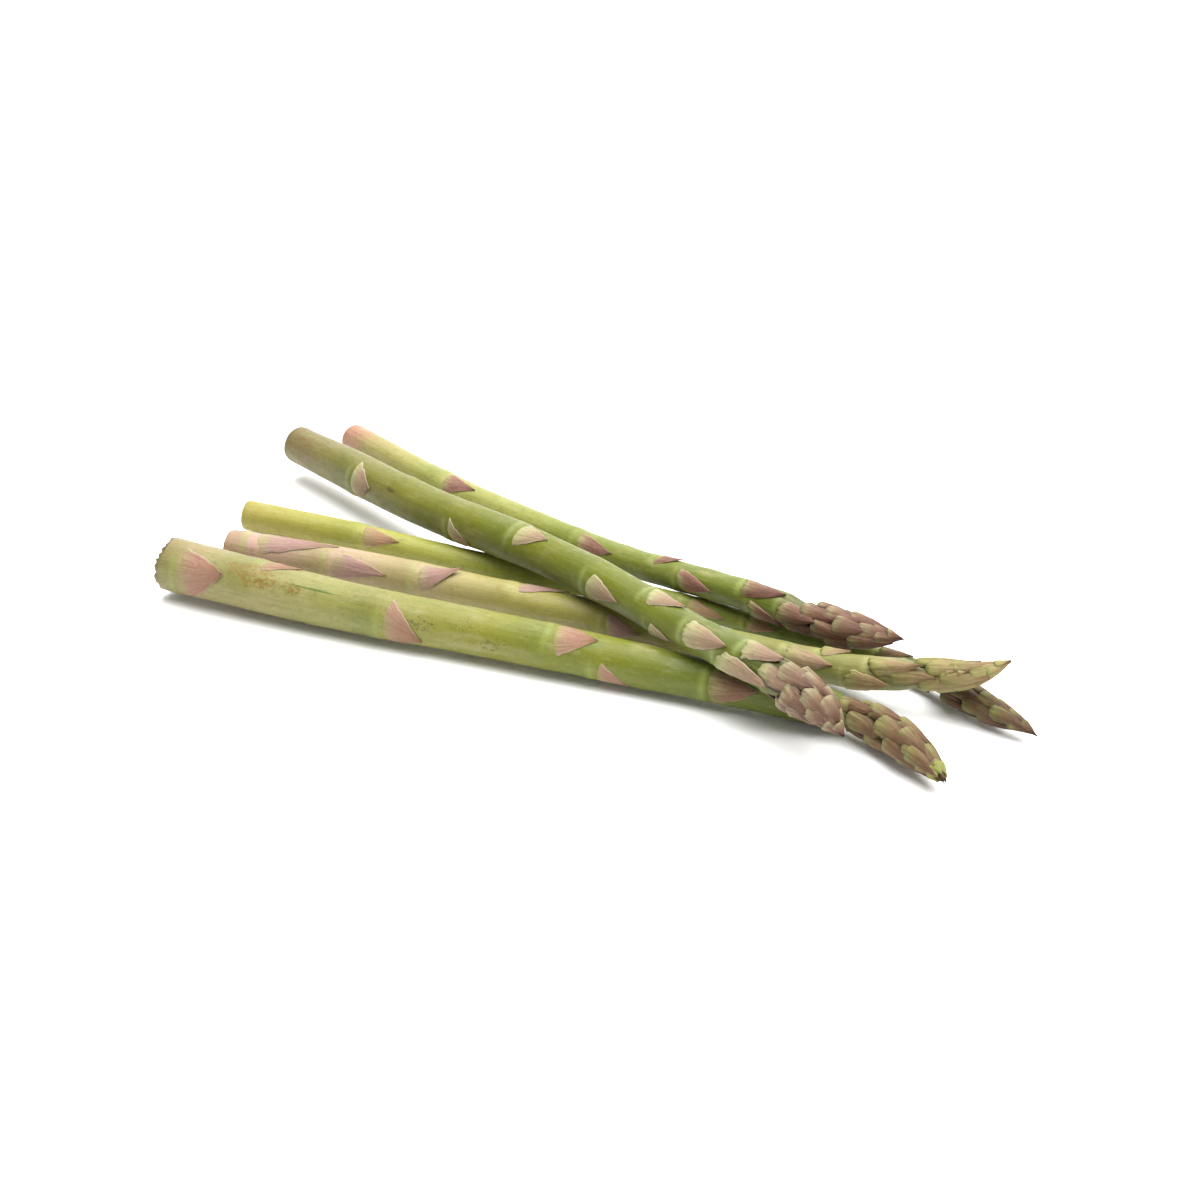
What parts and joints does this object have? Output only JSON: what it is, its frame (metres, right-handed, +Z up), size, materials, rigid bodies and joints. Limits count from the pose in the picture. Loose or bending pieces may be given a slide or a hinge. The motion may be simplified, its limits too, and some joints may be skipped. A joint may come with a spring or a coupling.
{
  "type": "bundle of asparagus",
  "caption": "Loose asparagus spears lying in a low crossed pile, cut butts at one end and closed scaly heads at the other.",
  "frame": {"origin": "middle of the pile's bounding box, on the surface the pile lies on", "axes": "+X along the spears from the cut butts toward the tips, +Y across the pile, +Z up"},
  "size_m": [0.2234, 0.0992, 0.0223],
  "materials": {
    "stalk": "smooth waxy skin, finely ribbed along its length, pale yellow-green at the butt and greener toward the head",
    "scale_leaf": "dry papery scale, pink to mauve-brown with a pale green base",
    "head": "tight overlapping bud scales, mauve-brown over yellow-green"
  },
  "bodies": {
    "root": {"spear_a_stalk": "stalk", "spear_a_head": "head", "spear_a_leaf_01": "scale_leaf", "spear_a_leaf_02": "scale_leaf", "spear_a_leaf_03": "scale_leaf", "spear_a_leaf_04": "scale_leaf", "spear_a_leaf_05": "scale_leaf", "spear_a_leaf_06": "scale_leaf", "spear_a_leaf_07": "scale_leaf", "spear_a_leaf_08": "scale_leaf", "spear_a_leaf_09": "scale_leaf", "spear_a_leaf_10": "scale_leaf", "spear_b_stalk": "stalk", "spear_b_head": "head", "spear_b_leaf_01": "scale_leaf", "spear_b_leaf_02": "scale_leaf", "spear_b_leaf_03": "scale_leaf", "spear_b_leaf_04": "scale_leaf", "spear_b_leaf_05": "scale_leaf", "spear_b_leaf_06": "scale_leaf", "spear_b_leaf_07": "scale_leaf", "spear_b_leaf_08": "scale_leaf", "spear_b_leaf_09": "scale_leaf", "spear_b_leaf_10": "scale_leaf", "spear_b_leaf_11": "scale_leaf", "spear_c_stalk": "stalk", "spear_c_head": "head", "spear_c_leaf_01": "scale_leaf", "spear_c_leaf_02": "scale_leaf", "spear_c_leaf_03": "scale_leaf", "spear_c_leaf_04": "scale_leaf", "spear_c_leaf_05": "scale_leaf", "spear_c_leaf_06": "scale_leaf", "spear_c_leaf_07": "scale_leaf", "spear_c_leaf_08": "scale_leaf", "spear_d_stalk": "stalk", "spear_d_head": "head", "spear_d_leaf_01": "scale_leaf", "spear_d_leaf_02": "scale_leaf", "spear_d_leaf_03": "scale_leaf", "spear_d_leaf_04": "scale_leaf", "spear_d_leaf_05": "scale_leaf", "spear_d_leaf_06": "scale_leaf", "spear_d_leaf_07": "scale_leaf", "spear_d_leaf_08": "scale_leaf", "spear_d_leaf_09": "scale_leaf", "spear_d_leaf_10": "scale_leaf", "spear_d_leaf_11": "scale_leaf", "spear_e_stalk": "stalk", "spear_e_head": "head", "spear_e_leaf_01": "scale_leaf", "spear_e_leaf_02": "scale_leaf", "spear_e_leaf_03": "scale_leaf", "spear_e_leaf_04": "scale_leaf", "spear_e_leaf_05": "scale_leaf", "spear_e_leaf_06": "scale_leaf", "spear_e_leaf_07": "scale_leaf", "spear_e_leaf_08": "scale_leaf", "spear_e_leaf_09": "scale_leaf", "spear_e_leaf_10": "scale_leaf"}
  },
  "joints": []
}
